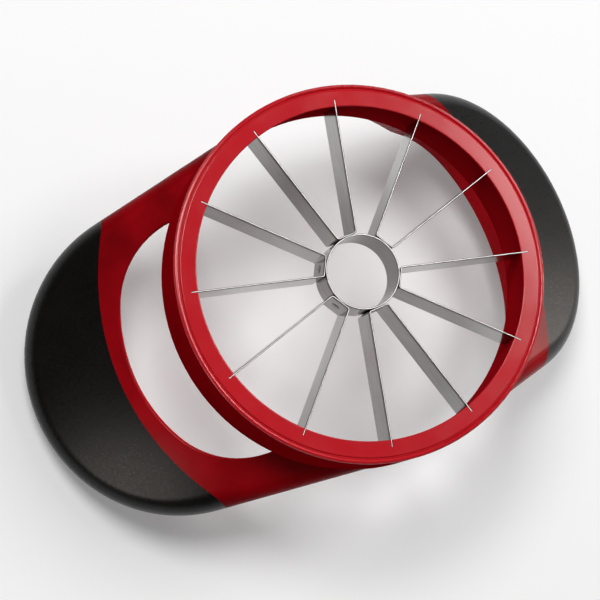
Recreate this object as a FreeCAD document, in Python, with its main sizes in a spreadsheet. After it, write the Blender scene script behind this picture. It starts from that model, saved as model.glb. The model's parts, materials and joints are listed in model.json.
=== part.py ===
"""Hand-held apple slicer and corer: a round blade cage in a moulded frame with two loop handles.

The slicer lies on the backs of its two handles with the cutting face up, so the row's origin is on
the resting surface, on the axis of the ring. X runs along the handles, Z is the ring's axis.
Depths are measured down from the cutting face, whose height is Derived.face_height.
"""
import FreeCAD
import Part
import Sketcher
import math
import os

from FreeCAD import Placement, Rotation, Vector

# Driving sizes in millimetres, angles in degrees. Every other size follows from these.
SIZES = {
    # ring wall, from the opening outwards, shared by the blade ring and the frame
    "opening_radius": 52.0,         # clear opening at the cutting face
    "opening_flare": 2.1,           # how much the opening widens down to the back
    "skirt_wall": 1.7,              # blade ring's wall below the ledge
    "parting_gap": 0.25,            # groove that shows between blade ring and frame
    "ledge_width": 1.35,            # ledge in the frame that the blade ring rests on
    "bead_width": 1.6,              # rounded rim of the frame round the blade ring
    "ring_draft": 0.4,              # how much the outside narrows down to the back
    "ring_depth": 21.0,             # cutting face to the back of the ring
    "seat_depth": 15.0,             # cutting face to the ledge
    "bead_rounding": 0.7,
    "back_rounding": 0.8,
    "ring_edge_bevel": 0.35,        # bevel of the blade ring at the parting groove
    # blades, folded in pairs from flat strip
    "blade_pairs": 6,
    "blade_height": 12.3,
    "blade_thickness": 0.5,
    "blade_seat": 2.2,              # how deep a blade's tip sits in the ring
    "blade_bevel": 0.18,
    "fold_rounding": 0.5,           # inside of the fold
    # steel tube that cuts out the core
    "core_radius": 11.8,
    "core_wall": 0.5,
    "core_height": 12.0,
    # handles, drawn on a plane that slopes down and away from the cutting face
    "handle_slope": 31.5,
    "handle_drop": 8.8,             # depth of the handles' mid plane on the ring axis
    "handle_thickness": 14.8,
    "rim_flat": 1.0,                # height of the rim between its two roundings
    "handle_overhang": 54.6,        # how far along its slope a handle reaches past the ring
    "handle_inset": 9.4,            # how much narrower a handle's end is than the ring
    "arm_taper": 7.5,
    "arm_root": 20.0,               # where the arms start, inside the ring wall
    "root_thickness": 7.2,          # thickness of an arm where it starts
    "root_length": 38.0,            # length over which it grows to its full thickness
    # finger opening, which widens towards the palm side
    "palm_width": 37.6,             # finger opening to the handle's rim, at the middle
    "arm_width": 11.0,
    "finger_arc_radius": 50.0,
    "finger_corner_radius": 29.0,
    "finger_flare": 18.0,
    "finger_rounding": 0.9,         # edge of the opening on the front
    "palm_rounding": 1.5,           # edge of the opening on the palm side
    "arm_relief": 11.0,             # how the arms fall back from the bore below the ring
    # soft grips moulded over the outer part of each handle
    "bare_strip": 4.4,              # red plastic between finger opening and grip
    "grip_edge_radius": 92.0,
    "grip_skin": 2.2,
    "tongue_bury": 21.3,            # how far the tongue under a grip runs back inside the arms
}

# Edges and planes count as the same when they are no further apart than this.
TOLERANCE = 1e-4
# The finger opening's rims lie across a handle's thickness, and its wall's seams run through it.
RIM_STEEPNESS = 0.5
X_AXIS = Vector(1, 0, 0)
Y_AXIS = Vector(0, 1, 0)
Z_AXIS = Vector(0, 0, 1)

# Sizes that follow from the driving ones, as spreadsheet formulas.
DERIVED = {
    "back_opening_radius": "Sizes.opening_radius + Sizes.opening_flare",
    "skirt_radius": "back_opening_radius + Sizes.skirt_wall",
    "ledge_radius": "skirt_radius + Sizes.parting_gap",
    "seat_radius": "ledge_radius + Sizes.ledge_width",
    "blade_ring_radius": "seat_radius - Sizes.parting_gap",
    "ring_radius": "seat_radius + Sizes.bead_width",
    "ring_back_radius": "ring_radius - Sizes.ring_draft",
    "handle_half": "Sizes.handle_thickness / 2",
    "handle_rounding": "(Sizes.handle_thickness - Sizes.rim_flat) / 2",
    "handle_reach": "ring_radius + Sizes.handle_overhang",
    "handle_arc_radius": "ring_radius - Sizes.handle_inset",
    "handle_arc_centre": "handle_reach - handle_arc_radius",
    # the rim's rounding touches the resting surface at the handle's far end
    "face_height": "Sizes.handle_drop + (handle_reach - handle_rounding) * sin(Sizes.handle_slope * 1deg)"
                   " + Sizes.rim_flat / 2 * cos(Sizes.handle_slope * 1deg) + handle_rounding",
    "handle_plane_height": "face_height - Sizes.handle_drop",
    "core_bore_radius": "Sizes.core_radius - Sizes.core_wall",
    "pair_angle": "360 / Sizes.blade_pairs",
    "blade_angle": "pair_angle / 4",
    "half_blade": "Sizes.blade_thickness / 2",
    "bridge_inner": "Sizes.core_radius",
    "bridge_outer": "Sizes.core_radius + Sizes.blade_thickness",
    "fold_outer_rounding": "Sizes.fold_rounding + Sizes.blade_thickness",
    "blade_reach": "Sizes.opening_radius + Sizes.blade_seat",
    "fold_inner_y": "bridge_outer * tan(blade_angle * 1deg) - half_blade / cos(blade_angle * 1deg)",
    "fold_outer_y": "bridge_inner * tan(blade_angle * 1deg) + half_blade / cos(blade_angle * 1deg)",
    "tip_inner_x": "blade_reach * cos(blade_angle * 1deg) + half_blade * sin(blade_angle * 1deg)",
    "tip_inner_y": "blade_reach * sin(blade_angle * 1deg) - half_blade * cos(blade_angle * 1deg)",
    "tip_outer_x": "blade_reach * cos(blade_angle * 1deg) - half_blade * sin(blade_angle * 1deg)",
    "tip_outer_y": "blade_reach * sin(blade_angle * 1deg) + half_blade * cos(blade_angle * 1deg)",
    "slot_start": "Sizes.opening_radius - Sizes.opening_flare",
    "root_floor": "handle_half - Sizes.root_thickness",
    "root_end": "Sizes.arm_root + Sizes.root_length",
    "finger_reach": "handle_reach - Sizes.palm_width",
    "finger_half_width": "handle_arc_radius - Sizes.arm_width",
    "finger_arc_centre": "finger_reach - Sizes.finger_arc_radius",
    "finger_rear": "Sizes.arm_root - Sizes.handle_thickness",
    "grip_edge_reach": "finger_reach * cos(Sizes.handle_slope * 1deg)"
                       " + handle_half * sin(Sizes.handle_slope * 1deg) + Sizes.bare_strip",
    "grip_edge_centre": "grip_edge_reach - Sizes.grip_edge_radius",
    "tongue_arc_radius": "handle_arc_radius - Sizes.grip_skin",
    "tongue_thickness": "Sizes.handle_thickness - 2 * Sizes.grip_skin",
    "tongue_rounding": "handle_rounding - Sizes.grip_skin",
    "tongue_root": "grip_edge_reach - Sizes.tongue_bury",
    "core_bevel": "Sizes.core_wall / 3",
    "bore_margin": "Sizes.bead_width",
    "relief_radius": "ledge_radius + (face_height - Sizes.ring_depth) * tan(Sizes.arm_relief * 1deg)",
}


def fill_sheets(doc):
    """Write the driving sizes and the formulas, and return a look-up of every value."""
    sizes = doc.addObject("Spreadsheet::Sheet", "Sizes")
    for row, (name, value) in enumerate(SIZES.items(), start=1):
        sizes.set(f"A{row}", name)
        sizes.set(f"B{row}", str(value))
        sizes.setAlias(f"B{row}", name)
    doc.recompute()
    derived = doc.addObject("Spreadsheet::Sheet", "Derived")
    for row, name in enumerate(DERIVED, start=1):
        derived.set(f"A{row}", name)
        derived.setAlias(f"B{row}", name)
    for row, (name, formula) in enumerate(DERIVED.items(), start=1):
        derived.set(f"B{row}", "=" + formula)
    doc.recompute()
    values = {name: float(sizes.get(name)) for name in SIZES}
    values.update({name: float(derived.get(name)) for name in DERIVED})
    return values


def bind(target, path, name):
    """Tie a property to a named size; a leading minus sign turns it over."""
    sign = "-" if name.startswith("-") else ""
    name = name.lstrip("-")
    sheet = "Sizes" if name in SIZES else "Derived"
    target.setExpression(path, f"{sign}{sheet}.{name}")


def number(name):
    """The value of a named size, negative where the name has a leading minus sign."""
    if name == "zero":
        return 0.0
    sign = -1.0 if name.startswith("-") else 1.0
    return sign * value[name.lstrip("-")]


def new_body(name, height, turn="0", turn_axis=Z_AXIS):
    """A body whose origin is on the ring's axis at a named height, turned by a formula."""
    body = doc.addObject("PartDesign::Body", name)
    body.Label = name
    # Only a rotation that is not zero keeps its axis until the formula gives its angle.
    body.Placement = Placement(Vector(), Rotation(turn_axis, 1))
    bind(body, "Placement.Base.z", height)
    body.setExpression("Placement.Rotation.Angle", turn)
    return body


def new_sketch(body, name, role):
    """An empty sketch on one of the body's own origin planes."""
    sketch = body.newObject("Sketcher::SketchObject", name)
    plane = next(item for item in body.Origin.OriginFeatures if item.Role == role)
    sketch.AttachmentSupport = (plane, [""])
    sketch.MapMode = "FlatFace"
    return sketch


def fix_point(sketch, line, end, x_name, y_name):
    """Hold one end of a line at named distances from the sketch's origin."""
    for kind, axis, name in (("DistanceX", -2, x_name), ("DistanceY", -1, y_name)):
        if name == "zero":
            sketch.addConstraint(Sketcher.Constraint("PointOnObject", line, end, axis))
            continue
        index = sketch.addConstraint(Sketcher.Constraint(kind, -1, 1, line, end, number(name)))
        bind(sketch, f"Constraints[{index}]", name)


def draw_polygon(sketch, corners):
    """A closed outline through corners given as pairs of size names."""
    points = [Vector(number(x), number(y), 0) for x, y in corners]
    count = len(points)
    for index in range(count):
        sketch.addGeometry(Part.LineSegment(points[index], points[(index + 1) % count]), False)
    for index in range(count):
        following = (index + 1) % count
        sketch.addConstraint(Sketcher.Constraint("Coincident", index, 2, following, 1))
    for index, (x, y) in enumerate(corners):
        fix_point(sketch, index, 1, x, y)


def draw_circle(sketch, radius):
    """A circle of a named radius round the sketch's origin."""
    circle = Part.Circle(Vector(), Z_AXIS, number(radius))
    index = sketch.addGeometry(circle, False)
    sketch.addConstraint(Sketcher.Constraint("Coincident", index, 3, -1, 1))
    size = sketch.addConstraint(Sketcher.Constraint("Radius", index, number(radius)))
    bind(sketch, f"Constraints[{size}]", radius)


def draw_handle(sketch, arc_radius, root):
    """A handle's outline: a wide arc with two arms that run back to a straight root."""
    radius = number(arc_radius)
    centre = number("handle_arc_centre")
    start = number(root)
    taper = math.radians(number("arm_taper"))
    tangent = Vector(centre + radius * math.sin(taper), radius * math.cos(taper), 0)
    corner = Vector(start, tangent.y + (tangent.x - start) * math.tan(taper), 0)
    end_angle = math.pi / 2 - taper
    low_corner = Vector(corner.x, -corner.y, 0)
    low_tangent = Vector(tangent.x, -tangent.y, 0)
    circle = Part.Circle(Vector(centre, 0, 0), Z_AXIS, radius)
    arc = sketch.addGeometry(Part.ArcOfCircle(circle, -end_angle, end_angle), False)
    upper = sketch.addGeometry(Part.LineSegment(tangent, corner), False)
    rear = sketch.addGeometry(Part.LineSegment(corner, low_corner), False)
    lower = sketch.addGeometry(Part.LineSegment(low_corner, low_tangent), False)
    for rule in (("Tangent", arc, 2, upper, 1), ("Coincident", upper, 2, rear, 1),
                 ("Coincident", rear, 2, lower, 1), ("Tangent", lower, 2, arc, 1),
                 ("PointOnObject", arc, 3, -1), ("Symmetric", rear, 1, rear, 2, -1)):
        sketch.addConstraint(Sketcher.Constraint(*rule))
    for rule, name in ((("DistanceX", -1, 1, arc, 3, centre), "handle_arc_centre"),
                       (("Radius", arc, radius), arc_radius),
                       (("DistanceX", -1, 1, rear, 1, start), root)):
        index = sketch.addConstraint(Sketcher.Constraint(*rule))
        bind(sketch, f"Constraints[{index}]", name)
    index = sketch.addConstraint(Sketcher.Constraint("Angle", lower, taper))
    sketch.setExpression(f"Constraints[{index}]", "Sizes.arm_taper * 1deg")


def draw_finger_outline(sketch):
    """The finger opening at a handle's front face: a wide arc, two corner arcs and straight sides."""
    wide = number("finger_arc_radius")
    corner = number("finger_corner_radius")
    side = number("finger_half_width")
    rear_x = number("finger_rear")
    centre = number("finger_arc_centre")
    lean = math.asin((side - corner) / (wide - corner))
    corner_x = centre + (wide - corner) * math.cos(lean)
    wide_circle = Part.Circle(Vector(centre, 0, 0), Z_AXIS, wide)
    front = sketch.addGeometry(Part.ArcOfCircle(wide_circle, -lean, lean), False)
    upper_circle = Part.Circle(Vector(corner_x, side - corner, 0), Z_AXIS, corner)
    upper = sketch.addGeometry(Part.ArcOfCircle(upper_circle, lean, math.pi / 2), False)
    lower_circle = Part.Circle(Vector(corner_x, corner - side, 0), Z_AXIS, corner)
    lower = sketch.addGeometry(Part.ArcOfCircle(lower_circle, -math.pi / 2, -lean), False)
    ends = [Vector(corner_x, side, 0), Vector(rear_x, side, 0),
            Vector(rear_x, -side, 0), Vector(corner_x, -side, 0)]
    top, rear, bottom = (sketch.addGeometry(Part.LineSegment(*pair), False)
                         for pair in zip(ends, ends[1:]))
    for rule in (("Tangent", front, 2, upper, 1), ("Tangent", front, 1, lower, 2),
                 ("Tangent", upper, 2, top, 1), ("Tangent", bottom, 2, lower, 1),
                 ("Coincident", top, 2, rear, 1), ("Coincident", rear, 2, bottom, 1),
                 ("PointOnObject", front, 3, -1), ("Vertical", rear),
                 ("Horizontal", top), ("Horizontal", bottom)):
        sketch.addConstraint(Sketcher.Constraint(*rule))
    for rule, name in ((("DistanceX", -1, 1, front, 3, centre), "finger_arc_centre"),
                       (("Radius", front, wide), "finger_arc_radius"),
                       (("Radius", upper, corner), "finger_corner_radius"),
                       (("Radius", lower, corner), "finger_corner_radius"),
                       (("DistanceY", -1, 1, rear, 1, side), "finger_half_width"),
                       (("DistanceY", rear, 2, -1, 1, side), "finger_half_width"),
                       (("DistanceX", -1, 1, rear, 1, rear_x), "finger_rear")):
        index = sketch.addConstraint(Sketcher.Constraint(*rule))
        bind(sketch, f"Constraints[{index}]", name)


def add_pad(body, sketch, length, symmetric=False, down=False):
    """Raise a sketch by a named length, to both sides or downwards where asked."""
    pad = body.newObject("PartDesign::Pad", sketch.Name + "_pad")
    pad.Profile = sketch
    bind(pad, "Length", length)
    if symmetric:
        pad.SideType = "Symmetric"
    pad.Reversed = down
    sketch.Visibility = False
    doc.recompute()
    return pad


def add_pocket(body, sketch, length=None, down=False):
    """Cut a sketch through the whole body to both sides, or by a named length one way."""
    pocket = body.newObject("PartDesign::Pocket", sketch.Name + "_pocket")
    pocket.Profile = sketch
    if length:
        bind(pocket, "Length", length)
        pocket.Reversed = not down
    else:
        pocket.Type = "ThroughAll"
        pocket.SideType = "Symmetric"
    before = body.Shape.Volume
    doc.recompute()
    if body.Shape.Volume >= before:
        raise RuntimeError(pocket.Name + " cut nothing")
    return pocket


def add_turning(body, sketch):
    """Turn a sketch once round the ring's axis."""
    turning = body.newObject("PartDesign::Revolution", sketch.Name + "_turning")
    turning.Profile = sketch
    turning.ReferenceAxis = (sketch, ["V_Axis"])
    turning.Angle = 360
    doc.recompute()
    return turning


def soften(body, kind, feature, size, wanted):
    """Fillet or chamfer the edges of a feature that a test picks out."""
    names = [f"Edge{index}" for index, edge in enumerate(feature.Shape.Edges, start=1) if wanted(edge)]
    if not names:
        raise RuntimeError(f"no edge found on {feature.Name}")
    softened = body.newObject("PartDesign::" + kind, f"{feature.Name}_{kind}_{size}")
    softened.Base = (feature, names)
    bind(softened, "Radius" if kind == "Fillet" else "Size", size)
    doc.recompute()
    return softened


def is_near(first, second):
    return abs(first - second) < TOLERANCE


def middle_of(edge):
    """The point half-way along an edge, and the edge's direction there."""
    half_way = (edge.FirstParameter + edge.LastParameter) / 2
    return edge.valueAt(half_way), edge.tangentAt(half_way)


def is_ring_edge(edge, radius, depth):
    """Is this edge a circle round the axis of a named radius at a named depth?"""
    curve = edge.Curve
    if curve.TypeId != "Part::GeomCircle" or len(edge.Vertexes) != 1:
        return False
    return is_near(curve.Radius, number(radius)) and is_near(curve.Center.z, number(depth))


def make_ring_wall():
    """The frame's ring: a rounded bead in front, a ledge inside for the blade ring."""
    body = new_body("ring_wall", "face_height")
    sketch = new_sketch(body, "ring_wall_section", "XZ_Plane")
    draw_polygon(sketch, [("seat_radius", "zero"), ("ring_radius", "zero"),
                          ("ring_back_radius", "-ring_depth"), ("ledge_radius", "-ring_depth"),
                          ("ledge_radius", "-seat_depth"), ("seat_radius", "-seat_depth")])
    turned = add_turning(body, sketch)
    bead = soften(body, "Fillet", turned, "bead_rounding", lambda edge: (
        is_ring_edge(edge, "seat_radius", "zero") or is_ring_edge(edge, "ring_radius", "zero")))
    soften(body, "Fillet", bead, "back_rounding", lambda edge: (
        is_ring_edge(edge, "ring_back_radius", "-ring_depth")
        or is_ring_edge(edge, "ledge_radius", "-ring_depth")))
    return body


def make_bore_tool():
    """Everything inside the frame's ring and a cone below it, for cutting the arms clear of the bore."""
    body = new_body("bore_tool", "face_height")
    sketch = new_sketch(body, "bore_section", "XZ_Plane")
    draw_polygon(sketch, [("zero", "bore_margin"), ("seat_radius", "bore_margin"),
                          ("seat_radius", "-seat_depth"), ("ledge_radius", "-seat_depth"),
                          ("ledge_radius", "-ring_depth"), ("relief_radius", "-face_height"),
                          ("zero", "-face_height")])
    add_turning(body, sketch)
    return body


def make_handle_blank():
    """One handle loop before it is parted into the red arms and the soft grip."""
    body = new_body("handle_blank", "handle_plane_height", "Sizes.handle_slope", Y_AXIS)
    outline = new_sketch(body, "handle_outline", "XY_Plane")
    draw_handle(outline, "handle_arc_radius", "arm_root")
    slab = add_pad(body, outline, "handle_thickness", symmetric=True)
    soften(body, "Fillet", slab, "handle_rounding", lambda edge: (
        is_near(abs(edge.CenterOfMass.z), number("handle_half"))
        and not is_near(edge.CenterOfMass.x, number("arm_root"))))
    taper = new_sketch(body, "root_taper", "XZ_Plane")
    draw_polygon(taper, [("arm_root", "root_floor"), ("root_end", "-handle_half"),
                         ("root_end", "-handle_thickness"), ("arm_root", "-handle_thickness")])
    add_pocket(body, taper)
    return body


def make_tongue():
    """The rigid core that a soft grip is moulded round."""
    body = new_body("grip_tongue", "handle_plane_height", "Sizes.handle_slope", Y_AXIS)
    outline = new_sketch(body, "tongue_outline", "XY_Plane")
    draw_handle(outline, "tongue_arc_radius", "tongue_root")
    slab = add_pad(body, outline, "tongue_thickness", symmetric=True)
    soften(body, "Fillet", slab, "tongue_rounding", lambda edge: (
        is_near(abs(edge.CenterOfMass.z), number("tongue_thickness") / 2)
        and not is_near(edge.CenterOfMass.x, number("tongue_root"))))
    return body


def make_finger_tool():
    """What the finger opening takes out of a handle, from above its front face downwards."""
    body = new_body("finger_tool", "handle_plane_height", "Sizes.handle_slope", Y_AXIS)
    outline = new_sketch(body, "finger_outline", "XY_Plane")
    outline.AttachmentOffset = Placement(Vector(0, 0, number("handle_half")), Rotation())
    bind(outline, "AttachmentOffset.Base.z", "handle_half")
    draw_finger_outline(outline)
    tool = add_pad(body, outline, "handle_thickness", down=True)
    tool.setExpression("TaperAngle", "Sizes.finger_flare * 1deg")
    return body


def round_finger_edges(core, tool):
    """Round a handle where the finger opening meets its front and its back."""
    body = doc.addObject("PartDesign::Body", "rounded_handle")
    body.BaseFeature = core
    doc.recompute()
    handle_normal = tool.Placement.Rotation.multVec(Z_AXIS)

    def is_rim(edge, on_front):
        point, direction = middle_of(edge)
        touching = tool.Shape.distToShape(Part.Vertex(point))[0] < TOLERANCE
        height = (point - tool.Placement.Base).dot(handle_normal)
        return touching and abs(direction.dot(handle_normal)) < RIM_STEEPNESS and (height > 0) == on_front

    soften(body, "Fillet", body.Tip, "finger_rounding", lambda edge: is_rim(edge, True))
    soften(body, "Fillet", body.Tip, "palm_rounding", lambda edge: is_rim(edge, False))
    return body


def combine(kind, name, first, second):
    """A boolean of two objects."""
    result = doc.addObject(kind, name)
    result.Base = first
    result.Tool = second
    result.Label = name
    doc.recompute()
    return result


def mirror(name, source):
    """The same object on the other side of the ring's axis."""
    copy = doc.addObject("Part::Mirroring", name)
    copy.Source = source
    copy.Normal = X_AXIS
    copy.Label = name
    doc.recompute()
    return copy


def make_frame_and_grips():
    """Part the handle blanks at the grip's edge, and join the arms to the ring."""
    blank = make_handle_blank()
    tongue = make_tongue()
    zone = doc.addObject("Part::Cylinder", "arm_zone")
    bind(zone, "Radius", "grip_edge_radius")
    bind(zone, "Height", "face_height")
    bind(zone, "Placement.Base.x", "grip_edge_centre")
    doc.recompute()
    arm = combine("Part::Common", "right_arm", blank, zone)
    solid_core = combine("Part::Fuse", "right_core_blank", arm, tongue)
    tool = make_finger_tool()
    core = combine("Part::Cut", "right_handle_core", solid_core, tool)
    rounded = round_finger_edges(core, tool)
    skin = combine("Part::Cut", "right_grip_blank", blank, zone)
    right_grip = combine("Part::Cut", "right_grip", skin, tongue)
    left_grip = mirror("left_grip", right_grip)
    left_core = mirror("left_handle_core", rounded)
    joined = doc.addObject("Part::MultiFuse", "frame_blank")
    joined.Shapes = [make_ring_wall(), rounded, left_core]
    doc.recompute()
    frame = combine("Part::Cut", "frame", joined, make_bore_tool())
    return [frame, left_grip, right_grip]


def make_blade_ring():
    """The ring that carries the blades: a flat face, a flaring bore and one slot for each blade."""
    body = new_body("blade_ring", "face_height", turn="Derived.blade_angle")
    sketch = new_sketch(body, "blade_ring_section", "XZ_Plane")
    draw_polygon(sketch, [("opening_radius", "zero"), ("blade_ring_radius", "zero"),
                          ("blade_ring_radius", "-seat_depth"), ("skirt_radius", "-seat_depth"),
                          ("skirt_radius", "-ring_depth"), ("back_opening_radius", "-ring_depth")])
    turned = add_turning(body, sketch)
    eased = soften(body, "Fillet", turned, "ring_edge_bevel", lambda edge: (
        is_ring_edge(edge, "blade_ring_radius", "zero")
        or is_ring_edge(edge, "opening_radius", "zero")
        or is_ring_edge(edge, "back_opening_radius", "-ring_depth")))
    slot = new_sketch(body, "blade_slot", "XY_Plane")
    draw_polygon(slot, [("slot_start", "-half_blade"), ("blade_reach", "-half_blade"),
                        ("blade_reach", "half_blade"), ("slot_start", "half_blade")])
    pocket = add_pocket(body, slot, "blade_height", down=True)
    pattern = body.newObject("PartDesign::PolarPattern", "blade_slots")
    pattern.Originals = [pocket]
    pattern.Axis = (slot, ["N_Axis"])
    pattern.Angle = 360
    pattern.setExpression("Occurrences", "2 * Sizes.blade_pairs")
    body.Tip = pattern
    doc.recompute()
    return body


def make_blade_pair(index):
    """Two blades folded from one strip, with a flat bridge between them against the core tube."""
    name = f"blade_pair_{index + 1}"
    body = new_body(name, "face_height", turn=f"Derived.pair_angle * ({index} + 0.5)")
    sketch = new_sketch(body, name + "_outline", "XY_Plane")
    draw_polygon(sketch, [("tip_inner_x", "tip_inner_y"), ("tip_outer_x", "tip_outer_y"),
                          ("bridge_inner", "fold_outer_y"), ("bridge_inner", "-fold_outer_y"),
                          ("tip_outer_x", "-tip_outer_y"), ("tip_inner_x", "-tip_inner_y"),
                          ("bridge_outer", "-fold_inner_y"), ("bridge_outer", "fold_inner_y")])
    strip = add_pad(body, sketch, "blade_height", down=True)
    middle = -number("blade_height") / 2

    def is_fold(edge, x_name):
        centre = edge.CenterOfMass
        return is_near(centre.z, middle) and is_near(centre.x, number(x_name))

    def is_cutting_edge(edge):
        centre = edge.CenterOfMass
        is_tip = is_near(math.hypot(centre.x, centre.y), number("blade_reach"))
        return is_near(centre.z, 0) and not is_tip

    inner = soften(body, "Fillet", strip, "fold_rounding", lambda edge: is_fold(edge, "bridge_outer"))
    outer = soften(body, "Fillet", inner, "fold_outer_rounding",
                   lambda edge: is_fold(edge, "bridge_inner"))
    soften(body, "Chamfer", outer, "blade_bevel", is_cutting_edge)
    return body


def make_core_tube():
    """The thin steel tube that cuts out the core."""
    body = new_body("core_tube", "face_height")
    sketch = new_sketch(body, "core_section", "XY_Plane")
    draw_circle(sketch, "core_radius")
    draw_circle(sketch, "core_bore_radius")
    tube = add_pad(body, sketch, "core_height", down=True)
    soften(body, "Chamfer", tube, "core_bevel", lambda edge: (
        is_ring_edge(edge, "core_radius", "zero") or is_ring_edge(edge, "core_bore_radius", "zero")))
    return body


def check(document, nodes):
    """Stop if any object failed, or if a sub-part is not a whole, valid solid."""
    for item in document.Objects:
        if "Invalid" in item.State or "Error" in item.State:
            raise RuntimeError(f"{item.Label} failed: {item.State}")
    for node in nodes:
        shape = node.Shape
        if shape.isNull() or not shape.isValid() or len(shape.Solids) != 1:
            raise RuntimeError(f"{node.Label} is not one valid solid")


doc = FreeCAD.newDocument("apple_slicer")
value = fill_sheets(doc)
nodes = make_frame_and_grips()
nodes.append(make_blade_ring())
nodes.append(make_core_tube())
for pair in range(int(value["blade_pairs"])):
    nodes.append(make_blade_pair(pair))
doc.recompute()
check(doc, nodes)

os.makedirs("parts", exist_ok=True)
for node in nodes:
    node.Shape.exportStep(f"parts/{node.Label}.step")
    print(node.Label, round(node.Shape.Volume, 1), node.Shape.BoundBox)
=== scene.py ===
"""Looks of the apple slicer and corer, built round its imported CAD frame."""
import json
import math

import bmesh
import bpy
from mathutils import Matrix, Vector


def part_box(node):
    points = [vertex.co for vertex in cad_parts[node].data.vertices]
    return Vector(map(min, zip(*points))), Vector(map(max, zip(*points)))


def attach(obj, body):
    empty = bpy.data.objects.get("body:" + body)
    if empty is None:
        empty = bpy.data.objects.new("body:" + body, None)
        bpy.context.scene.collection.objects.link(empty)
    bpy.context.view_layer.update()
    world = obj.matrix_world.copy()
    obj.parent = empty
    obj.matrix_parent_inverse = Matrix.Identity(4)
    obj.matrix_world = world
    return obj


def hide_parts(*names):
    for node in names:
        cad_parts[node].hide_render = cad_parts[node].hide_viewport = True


MM = 0.001

# The camera, measured from the middle of the cutting face, and how far it is turned about its view.
CAMERA_OFFSET = Vector((-0.23782, -0.03994, 0.67489))
CAMERA_AIM = Vector((-0.02219, -0.00059, 0.0))
CAMERA_ROLL = math.radians(56.46)
CAMERA_LENS_MM = 140.8
CAMERA_NEAR = 0.01

# Colours, as linear light. A shade is the darker end of a material's colour.
RED = (0.50, 0.0050, 0.012)
RED_SHADE = (0.45, 0.0038, 0.010)
# Painted shade: the arms' red is a little darker than the face's. The dark end of its flow marks is deep
# enough to stand for painted dark reflections too.
RED_ARM = (0.44, 0.0030, 0.008)
RED_ARM_FLOW_AND_PAINTED_REFLECTION = (0.16, 0.0010, 0.003)
# Painted light: a lighter red for the handles' faces that turn in towards the ring's axis.
RED_INSIDE_PAINTED_LIGHT = (0.65, 0.0060, 0.015)
# Painted shade: the ring wall's red is a little darker than the face's.
RED_WALL = (0.46, 0.0025, 0.007)
RED_WALL_SHADE = (0.36, 0.0015, 0.005)
GRIP_BLACK = (0.0020, 0.0017, 0.0014)
GRIP_WORN = (0.0046, 0.0039, 0.0033)
# The blades' steel is darker than real steel, as a painted dark reflection.
STEEL = (0.34, 0.335, 0.325)
STEEL_SHADE = (0.20, 0.196, 0.19)
# Painted shade: the steel in the tube's bore is far darker than the blades'. The bore's dark end is also
# the streak tone of the spot welds.
BORE_STEEL = (0.16, 0.156, 0.152)
BORE_STEEL_SHADE = (0.10, 0.098, 0.095)
# Painted dark reflection: the near-black steel on the blades' bevels and in the band along their tops.
PAINTED_DARK_STEEL = (0.060, 0.058, 0.056)
PAINTED_DARK_STEEL_SHADE = (0.035, 0.034, 0.033)
EDGE_STEEL = (0.90, 0.86, 0.85)
EDGE_STEEL_SHADE = (0.78, 0.74, 0.73)

# Each red plastic: its colour, its shade, its roughness and its specular level.
PLASTICS = {
    "red_face": (RED, RED_SHADE, 0.14, 0.5),
    "red_bore": (RED, RED_SHADE, 0.45, 0.0),
    "red_groove": (RED, RED_SHADE, 0.30, 0.2),
    "red_bead": (RED, RED_SHADE, 0.16, 0.35),
    "red_wall": (RED_WALL, RED_WALL_SHADE, 0.45, 0.0),
    "red_arms": (RED_ARM, RED_ARM_FLOW_AND_PAINTED_REFLECTION, 0.18, 0.015),
    "red_arm_front": (RED_ARM, RED_ARM_FLOW_AND_PAINTED_REFLECTION, 0.16, 0.08),
    "red_inside_painted_light": (RED_INSIDE_PAINTED_LIGHT, RED, 0.25, 0.02),
}
PLASTIC_ROUGHNESS_SPREAD = 0.07

# Each steel: its colour, its shade and its roughness.
STEELS = {
    "brushed_steel": (STEEL, STEEL_SHADE, 0.10),
    "ground_edge": (EDGE_STEEL, EDGE_STEEL_SHADE, 0.42),
    "ground_bevel_painted_dark": (PAINTED_DARK_STEEL, PAINTED_DARK_STEEL_SHADE, 0.30),
    "tube_bore_painted_shade": (BORE_STEEL, BORE_STEEL_SHADE, 0.14),
    "weld_steel": (STEEL, BORE_STEEL_SHADE, 0.22),
}
STEEL_ROUGHNESS_SPREAD = 0.08

# The soft grips: their smoothest and their roughest places, and their specular level.
GRIP_SMOOTH = 0.26
GRIP_ROUGH = 0.37
GRIP_GLOSS = 0.22

# The floor: its width, how pale it looks, how pale it is to the light that it throws back, how much it
# glows where it is seen, its roughness and its specular level.
FLOOR_SIZE = 6.0
FLOOR_SEEN = 0.78
FLOOR_BOUNCE = 0.45
FLOOR_LIFT = 0.20
FLOOR_ROUGHNESS = 0.9
FLOOR_GLOSS = 0.1

# Patterns in the materials: how wide their marks are, and how deep those that raise the surface. The
# streaks on the steel are as much longer than wide as their pattern is squeezed.
FLOW_SIZE = 30 * MM
SMUDGE_SIZE = 7 * MM
RIPPLE_SIZE = 4 * MM
RIPPLE_DEPTH = 0.02 * MM
GRAIN_SIZE = 0.35 * MM
GRAIN_DEPTH = 0.004 * MM
GRIP_WEAR_SIZE = 16 * MM
GRIP_DUST_SIZE = 0.7 * MM
GRIP_GRAIN_SIZE = 0.55 * MM
GRIP_GRAIN_DEPTH = 0.06 * MM
CLOUD_SIZE = 9 * MM
STREAK_WIDTH = 0.22 * MM
STREAK_DEPTH = 0.012 * MM
STREAK_SQUEEZE = 0.03
FIBRE_SIZE = 0.8 * MM
FIBRE_DEPTH = 0.01 * MM

# The sockets of a Mix node that blends colours.
MIX_FACTOR, MIX_FIRST, MIX_SECOND, MIX_RESULT = 0, 6, 7, 2

# Shading: points closer than the first number are joined, and edges sharper than the angle stay sharp.
MERGE_DISTANCE = 0.002 * MM
SHARP_ANGLE = math.radians(28)

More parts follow.
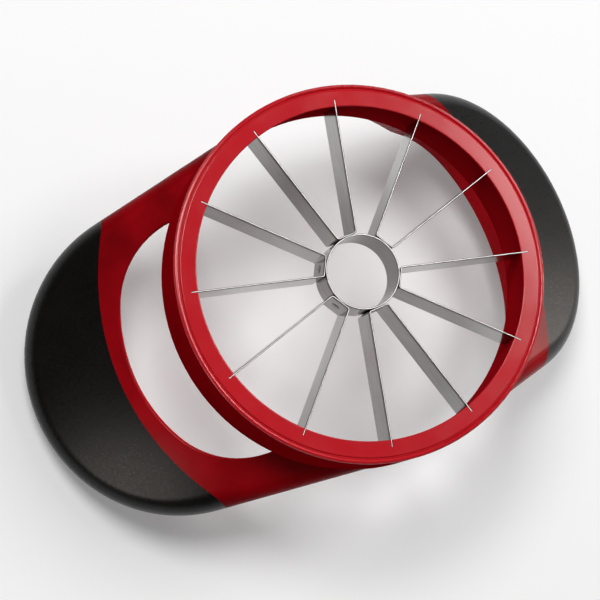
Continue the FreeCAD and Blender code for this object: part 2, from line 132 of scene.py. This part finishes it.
# How far a face's normal has to point up, out of or into the ring to get a material of its own.
UP_ON_FACE = 0.3
UP_ON_EDGE = 0.9
UP_ON_ARM_FRONT = 0.78
OUT_ON_WALL = 0.95
IN_ON_HANDLE = 0.5

# Depths under the cutting face: the bead's round edge, the band along the top of the blades that is painted
# dark as a reflection, and how blurred its end is.
BEAD_DEPTH = 0.9 * MM
PAINTED_BAND_DEPTH = 1.3 * MM
PAINTED_BAND_BLUR = 0.1 * MM

# The bottom of the parting groove: its depth under the face, its reach and the steps round the ring.
GROOVE_DEPTH = 0.4 * MM
GROOVE_REACH = 0.4 * MM
GROOVE_STEPS = 360

# The spot welds: their number, the steps round each one, their place on a bridge from the middle of
# the cutting face, and their section as (radius, height) in millimetres.
WELD_COUNT = 6
WELD_STEPS = 32
WELD_PLACE = Vector((12.3 * MM, 0.0, -6.15 * MM))
WELD_PROFILE = ((0, -0.10), (1.45, -0.10), (1.40, 0.00), (1.15, 0.14),
                (0.85, 0.14), (0.60, 0.04), (0, 0.02))

# Each lamp: its place from the middle of the cutting face, its width and its power.
LAMPS = {
    "key_lamp": (Vector((-0.13, 0.42, 0.95)), 0.46, 7.0),
    "face_lamp": (Vector((0.60, 0.07, 0.80)), 0.36, 4.1),
}

# Each card: the grip that it faces, then the same as for a lamp.
CARDS = {
    "left_card": ("left_grip", Vector((-0.145, -0.034, -0.006)), 0.050, 0.026),
    "right_card": ("right_grip", Vector((0.280, -0.055, -0.010)), 0.09, 0.12),
}
CARD_COLOUR = (1.0, 0.92, 0.85)

# The world's light: the direction in which it is brightest, its strength opposite and there, and how
# far along that direction it starts to rise.
WORLD_BRIGHT_SIDE = Vector((0.9, 0.2, 0.35)).normalized()
WORLD_DIM = 0.09
WORLD_BRIGHT = 0.20
WORLD_RISES_FROM = -0.6


def place_camera(face_centre):
    """A camera at the photograph's viewing angle."""
    position = face_centre + CAMERA_OFFSET
    forward = (face_centre + CAMERA_AIM - position).normalized()
    level_right = forward.cross(Vector((0, 0, 1))).normalized()
    level_up = level_right.cross(forward)
    right = math.cos(CAMERA_ROLL) * level_right + math.sin(CAMERA_ROLL) * level_up
    up = right.cross(forward)
    turn = Matrix((right, up, -forward)).transposed().to_4x4()
    data = bpy.data.cameras.new("camera")
    data.lens = CAMERA_LENS_MM
    data.clip_start = CAMERA_NEAR
    camera = bpy.data.objects.new("camera", data)
    camera.matrix_world = Matrix.Translation(position) @ turn
    bpy.context.scene.collection.objects.link(camera)
    bpy.context.scene.camera = camera


def new_material(name):
    """An empty procedural material: its node tree, its shader and the place that its patterns follow."""
    material = bpy.data.materials.new(name)
    material.use_nodes = True
    tree = material.node_tree
    place = add_node(tree, "ShaderNodeTexCoord").outputs["Object"]
    return material, tree, tree.nodes["Principled BSDF"], place


def add_node(tree, kind, inputs=None, **settings):
    """A node with its settings, and its inputs given as values or as links from other nodes."""
    made = tree.nodes.new(kind)
    for name, setting in settings.items():
        setattr(made, name, setting)
    for name, given in (inputs or {}).items():
        feed(tree, made.inputs[name], given)
    return made


def feed(tree, socket, given):
    """Link a socket to another node's output, or set it to a value."""
    if isinstance(given, bpy.types.NodeSocket):
        tree.links.new(given, socket)
    else:
        socket.default_value = given


def add_noise(tree, place, size, detail):
    """Soft cloudy noise whose blotches are about as wide as the size, from 0 to 1."""
    noise = add_node(tree, "ShaderNodeTexNoise", {"Vector": place, "Scale": 1 / size, "Detail": detail})
    return noise.outputs[0]


def add_range(tree, factor, low, high, start=0.3, end=0.7):
    """Map a factor between start and end to values between low and high."""
    mapped = add_node(tree, "ShaderNodeMapRange", {"Value": factor, "From Min": start, "From Max": end,
                                                   "To Min": low, "To Max": high})
    return mapped.outputs[0]


def add_ramp(tree, factor, first, second, start=0.3, end=0.7):
    """Blend from one colour to another as a factor goes from start to end."""
    ramp = add_node(tree, "ShaderNodeValToRGB", {"Fac": factor})
    ramp.color_ramp.elements[0].position = start
    ramp.color_ramp.elements[1].position = end
    ramp.color_ramp.elements[0].color = (*first, 1)
    ramp.color_ramp.elements[1].color = (*second, 1)
    return ramp.outputs[0]


def add_bump(tree, height, depth, strength, below=None):
    """Raise a surface by a height from 0 to 1 times a depth, on top of another bump where one is given."""
    bump = add_node(tree, "ShaderNodeBump", {"Height": height, "Distance": depth, "Strength": strength})
    if below:
        tree.links.new(below, bump.inputs["Normal"])
    return bump.outputs[0]


def add_vector_maths(tree, operation, first, second):
    """A sum or a product of two vectors, each of them a value or a link."""
    return add_node(tree, "ShaderNodeVectorMath", {0: first, 1: second}, operation=operation).outputs[0]


def moulded_plastic(name):
    """Moulded red plastic: flow marks in its colour, on the arms also painted dark reflections, a faint
    ripple and grain, and smudges on its gloss.
    """
    colour, shade, roughness, gloss = PLASTICS[name]
    material, tree, shader, place = new_material(name)
    flow = add_noise(tree, place, FLOW_SIZE, detail=3)
    smudge = add_noise(tree, place, SMUDGE_SIZE, detail=5)
    ripple = add_noise(tree, place, RIPPLE_SIZE, detail=1)
    grain = add_noise(tree, place, GRAIN_SIZE, detail=2)
    waves = add_bump(tree, ripple, RIPPLE_DEPTH, strength=0.3)
    surface = add_bump(tree, grain, GRAIN_DEPTH, strength=0.4, below=waves)
    roughest = roughness + PLASTIC_ROUGHNESS_SPREAD
    feed(tree, shader.inputs["Base Color"], add_ramp(tree, flow, shade, colour))
    feed(tree, shader.inputs["Roughness"], add_range(tree, smudge, roughness, roughest))
    feed(tree, shader.inputs["Normal"], surface)
    shader.inputs["Specular IOR Level"].default_value = gloss
    return material


def soft_grip():
    """Black soft-touch rubber with a fine moulded grain."""
    material, tree, shader, place = new_material("soft_grip")
    wear = add_noise(tree, place, GRIP_WEAR_SIZE, detail=4)
    dust = add_noise(tree, place, GRIP_DUST_SIZE, detail=3)
    grain = add_node(tree, "ShaderNodeTexVoronoi", {"Vector": place, "Scale": 1 / GRIP_GRAIN_SIZE})
    surface = add_bump(tree, grain.outputs["Distance"], GRIP_GRAIN_DEPTH, strength=0.22)
    feed(tree, shader.inputs["Base Color"], add_ramp(tree, wear, GRIP_BLACK, GRIP_WORN))
    feed(tree, shader.inputs["Roughness"], add_range(tree, dust, GRIP_SMOOTH, GRIP_ROUGH))
    feed(tree, shader.inputs["Normal"], surface)
    shader.inputs["Specular IOR Level"].default_value = GRIP_GLOSS
    return material


def brushed_steel(name, painted_band_from=None):
    """Stainless steel whose streaks run level, with a painted dark reflection as a band above a height if
    one is given.
    """
    colour, shade, roughness = STEELS[name]
    material, tree, shader, place = new_material(name)
    height = add_node(tree, "ShaderNodeSeparateXYZ", {"Vector": place}).outputs["Z"]
    upward = add_node(tree, "ShaderNodeCombineXYZ", {"Z": height}).outputs[0]
    level = add_vector_maths(tree, "MULTIPLY", place, (STREAK_SQUEEZE, STREAK_SQUEEZE, 0))
    streaks = add_noise(tree, add_vector_maths(tree, "ADD", level, upward), STREAK_WIDTH, detail=4)
    cloud = add_noise(tree, place, CLOUD_SIZE, detail=3)
    tone = add_ramp(tree, streaks, shade, colour)
    if painted_band_from:
        # Painted dark reflection: the band along the top of each blade side turns near-black.
        band = add_range(tree, height, 0, 1, painted_band_from - PAINTED_BAND_BLUR, painted_band_from)
        mix = {MIX_FACTOR: band, MIX_FIRST: tone, MIX_SECOND: (*PAINTED_DARK_STEEL, 1)}
        tone = add_node(tree, "ShaderNodeMix", mix, data_type="RGBA").outputs[MIX_RESULT]
    roughest = roughness + STEEL_ROUGHNESS_SPREAD
    feed(tree, shader.inputs["Base Color"], tone)
    feed(tree, shader.inputs["Roughness"], add_range(tree, cloud, roughness, roughest))
    feed(tree, shader.inputs["Normal"], add_bump(tree, streaks, STREAK_DEPTH, strength=0.25))
    shader.inputs["Metallic"].default_value = 1
    return material


def floor_paper():
    """Pale paper that keeps its shadows, and throws only a little light back up at the slicer."""
    material, tree, shader, place = new_material("floor_paper")
    path = add_node(tree, "ShaderNodeLightPath")
    seen = path.outputs["Is Camera Ray"]
    for ray in ("Is Glossy Ray", "Is Transmission Ray"):
        either = add_node(tree, "ShaderNodeMath", {0: seen, 1: path.outputs[ray]}, operation="MAXIMUM")
        seen = either.outputs[0]
    tone = add_range(tree, seen, FLOOR_BOUNCE, FLOOR_SEEN, 0, 1)
    grey = add_node(tree, "ShaderNodeCombineColor", {"Red": tone, "Green": tone, "Blue": tone})
    fibre = add_noise(tree, place, FIBRE_SIZE, detail=4)
    feed(tree, shader.inputs["Base Color"], grey.outputs[0])
    feed(tree, shader.inputs["Emission Strength"], add_range(tree, seen, 0, FLOOR_LIFT, 0, 1))
    feed(tree, shader.inputs["Normal"], add_bump(tree, fibre, FIBRE_DEPTH, strength=0.1))
    shader.inputs["Emission Color"].default_value = (1, 1, 1, 1)
    shader.inputs["Roughness"].default_value = FLOOR_ROUGHNESS
    shader.inputs["Specular IOR Level"].default_value = FLOOR_GLOSS
    return material


def lay_floor():
    """A pale floor under the slicer."""
    mesh = bpy.data.meshes.new("floor")
    half = FLOOR_SIZE / 2
    corners = [(-half, -half, 0), (half, -half, 0), (half, half, 0), (-half, half, 0)]
    mesh.from_pydata(corners, [], [(0, 1, 2, 3)])
    floor = bpy.data.objects.new("floor", mesh)
    bpy.context.scene.collection.objects.link(floor)
    mesh.materials.append(floor_paper())


def finish_node(name, materials, pick):
    """A joined-up copy of a CAD node with even shading. Pick names the material of each face."""
    mesh = bpy.data.meshes.new(name + "_surface")
    names = list(materials)
    work = bmesh.new()
    work.from_mesh(frame["nodes"][name].data)
    bmesh.ops.remove_doubles(work, verts=work.verts, dist=MERGE_DISTANCE)
    work.normal_update()
    for face in work.faces:
        face.smooth = True
        face.material_index = names.index(pick(face.calc_center_median(), face.normal))
    for edge in work.edges:
        edge.smooth = len(edge.link_faces) == 2 and edge.calc_face_angle() < SHARP_ANGLE
    work.to_mesh(mesh)
    work.free()
    for material in materials.values():
        mesh.materials.append(material)
    piece = bpy.data.objects.new(name + "_finished", mesh)
    bpy.context.scene.collection.objects.link(piece)
    shading = piece.modifiers.new("even_shading", "WEIGHTED_NORMAL")
    shading.keep_sharp = True
    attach(piece, "root")
    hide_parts(name)


def outwardness(centre, normal):
    """How far a face's normal points away from the ring's axis, from -1 for inward to 1."""
    return (normal.x * centre.x + normal.y * centre.y) / math.hypot(centre.x, centre.y)


def finish_frame():
    """The frame: satin arms with glossier fronts, painted shade and painted dark reflections, inside faces
    made lighter as painted light, a bead, and a dull ring wall with painted shade.
    """
    low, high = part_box("blade_ring")
    wall_radius = high.x

    def pick(centre, normal):
        outward = outwardness(centre, normal)
        round_ring = math.hypot(centre.x, centre.y) > wall_radius and centre.z > low.z
        if centre.z > high.z - BEAD_DEPTH:
            return "red_bead"
        if outward > OUT_ON_WALL and round_ring:
            return "red_wall"
        # Faces turned in towards the axis get a lighter red: painted light.
        if outward < -IN_ON_HANDLE:
            return "red_inside_painted_light"
        return "red_arm_front" if normal.z > UP_ON_ARM_FRONT else "red_arms"

    names = ("red_arms", "red_bead", "red_wall", "red_arm_front", "red_inside_painted_light")
    finish_node("frame", {name: moulded_plastic(name) for name in names}, pick)


def finish_blade_ring():
    """The blade ring: a glossy level face, and a dull wall inside."""
    def pick(centre, normal):
        return "red_face" if normal.z > UP_ON_FACE else "red_bore"

    materials = {name: moulded_plastic(name) for name in ("red_face", "red_bore")}
    finish_node("blade_ring", materials, pick)


def add_turned(name, material, profile, places, steps):
    """A piece made of one profile of (radius, height) points, turned about z and put at each place."""
    work = bmesh.new()
    corners = [work.verts.new((radius, 0, height)) for radius, height in profile]
    edges = [work.edges.new(pair) for pair in zip(corners, corners[1:])]
    bmesh.ops.spin(work, geom=corners + edges, axis=(0, 0, 1), cent=(0, 0, 0), angle=2 * math.pi,
                   steps=steps, use_merge=True)
    bmesh.ops.remove_doubles(work, verts=work.verts, dist=MERGE_DISTANCE)
    bmesh.ops.recalc_face_normals(work, faces=work.faces)
    for face in work.faces:
        face.smooth = True
    turned = bpy.data.meshes.new("turned")
    work.to_mesh(turned)
    work.clear()
    for place in places:
        copy = turned.copy()
        copy.transform(place)
        work.from_mesh(copy)
        bpy.data.meshes.remove(copy)
    mesh = bpy.data.meshes.new(name + "_surface")
    work.to_mesh(mesh)
    work.free()
    bpy.data.meshes.remove(turned)
    mesh.materials.append(material)
    piece = bpy.data.objects.new(name, mesh)
    bpy.context.scene.collection.objects.link(piece)
    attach(piece, "root")


def close_groove():
    """The bottom of the parting groove, where the frame and the blade ring meet under their round edges."""
    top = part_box("blade_ring")[1]
    inside = top.x - GROOVE_REACH / 4
    outside = top.x + GROOVE_REACH
    high = top.z - GROOVE_DEPTH
    low = top.z - 2 * GROOVE_DEPTH
    profile = [(inside, high), (outside, high), (outside, low), (inside, low), (inside, high)]
    material = moulded_plastic("red_groove")
    add_turned("parting_groove", material, profile, [Matrix()], GROOVE_STEPS)


def add_welds(face_centre):
    """A spot weld on each bridge between two blades, which lie half a step round from the x axis."""
    profile = [(radius * MM, height * MM) for radius, height in WELD_PROFILE]
    on_bridge = Matrix.Translation(WELD_PLACE) @ Matrix.Rotation(math.pi / 2, 4, "Y")
    places = []
    for number in range(WELD_COUNT):
        angle = 2 * math.pi * (number + 0.5) / WELD_COUNT
        places.append(Matrix.Translation(face_centre) @ Matrix.Rotation(angle, 4, "Z") @ on_bridge)
    material = brushed_steel("weld_steel")
    add_turned("spot_welds", material, profile, places, WELD_STEPS)


def finish_steel():
    """The blades and the core tube: brushed walls, bright ground edges, painted dark reflections on the
    bevels and along the top of the blades, and painted shade in the tube's bore.
    """
    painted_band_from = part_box("blade_ring")[1].z - PAINTED_BAND_DEPTH
    materials = {"brushed_steel": brushed_steel("brushed_steel", painted_band_from)}
    for name in ("ground_edge", "ground_bevel_painted_dark", "tube_bore_painted_shade"):
        materials[name] = brushed_steel(name)

    def pick_on_blade(centre, normal):
        if normal.z > UP_ON_EDGE:
            return "ground_edge"
        # The bevels get a painted dark reflection.
        return "ground_bevel_painted_dark" if normal.z > UP_ON_FACE else "brushed_steel"

    def pick_on_tube(centre, normal):
        # The tube's bore gets painted shade.
        in_bore = normal.z <= UP_ON_FACE and outwardness(centre, normal) < 0
        return "tube_bore_painted_shade" if in_bore else pick_on_blade(centre, normal)

    for entry in frame["record"]["subparts"]:
        if entry["material_slot"] == "blade_steel":
            pick = pick_on_tube if entry["node"] == "core_tube" else pick_on_blade
            finish_node(entry["node"], materials, pick)


def finish_grips():
    """The two soft grips."""
    materials = {"soft_grip": soft_grip()}
    for name in ("left_grip", "right_grip"):
        finish_node(name, materials, lambda centre, normal: "soft_grip")


def add_lamp(name, place, target, size, watts):
    """A round soft lamp at a place, which looks at a target and is not seen itself."""
    data = bpy.data.lights.new(name, "AREA")
    data.shape = "DISK"
    data.size = size
    data.energy = watts
    lamp = bpy.data.objects.new(name, data)
    lamp.location = place
    lamp.rotation_euler = (target - place).to_track_quat("-Z", "Y").to_euler()
    lamp.visible_camera = False
    bpy.context.scene.collection.objects.link(lamp)
    return lamp


def add_card(name, face_centre, grip, offset, size, watts):
    """A small warm card whose light shows only as a sheen on a grip."""
    low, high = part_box(grip)
    card = add_lamp(name, face_centre + offset, (low + high) / 2, size, watts)
    card.data.color = CARD_COLOUR
    card.visible_diffuse = False


def light_world():
    """Even studio light that is a little brighter on one side."""
    world = bpy.data.worlds.new("studio")
    bpy.context.scene.world = world
    world.use_nodes = True
    tree = world.node_tree
    direction = add_node(tree, "ShaderNodeTexCoord").outputs["Generated"]
    along = add_node(tree, "ShaderNodeVectorMath", {0: direction, 1: WORLD_BRIGHT_SIDE},
                     operation="DOT_PRODUCT").outputs["Value"]
    strength = add_range(tree, along, WORLD_DIM, WORLD_BRIGHT, WORLD_RISES_FROM, 1)
    background = tree.nodes["Background"]
    background.inputs["Color"].default_value = (1, 1, 1, 1)
    feed(tree, background.inputs["Strength"], strength)


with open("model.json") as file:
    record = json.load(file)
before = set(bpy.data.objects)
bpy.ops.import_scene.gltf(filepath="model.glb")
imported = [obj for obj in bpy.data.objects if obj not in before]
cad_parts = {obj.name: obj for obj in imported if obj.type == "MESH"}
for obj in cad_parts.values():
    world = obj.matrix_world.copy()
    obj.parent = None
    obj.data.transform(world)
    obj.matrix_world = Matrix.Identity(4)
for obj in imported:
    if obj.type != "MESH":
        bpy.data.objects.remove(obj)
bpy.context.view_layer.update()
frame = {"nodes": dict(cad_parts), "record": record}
middle = Vector((0, 0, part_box("blade_ring")[1].z))

finish_frame()
finish_blade_ring()
close_groove()
finish_steel()
add_welds(middle)
finish_grips()
place_camera(middle)
lay_floor()
light_world()
for lamp_name, (lamp_offset, lamp_size, lamp_watts) in LAMPS.items():
    add_lamp(lamp_name, middle + lamp_offset, middle, lamp_size, lamp_watts)
for card_name, card_facts in CARDS.items():
    add_card(card_name, middle, *card_facts)
bpy.context.scene.view_settings.view_transform = "Standard"
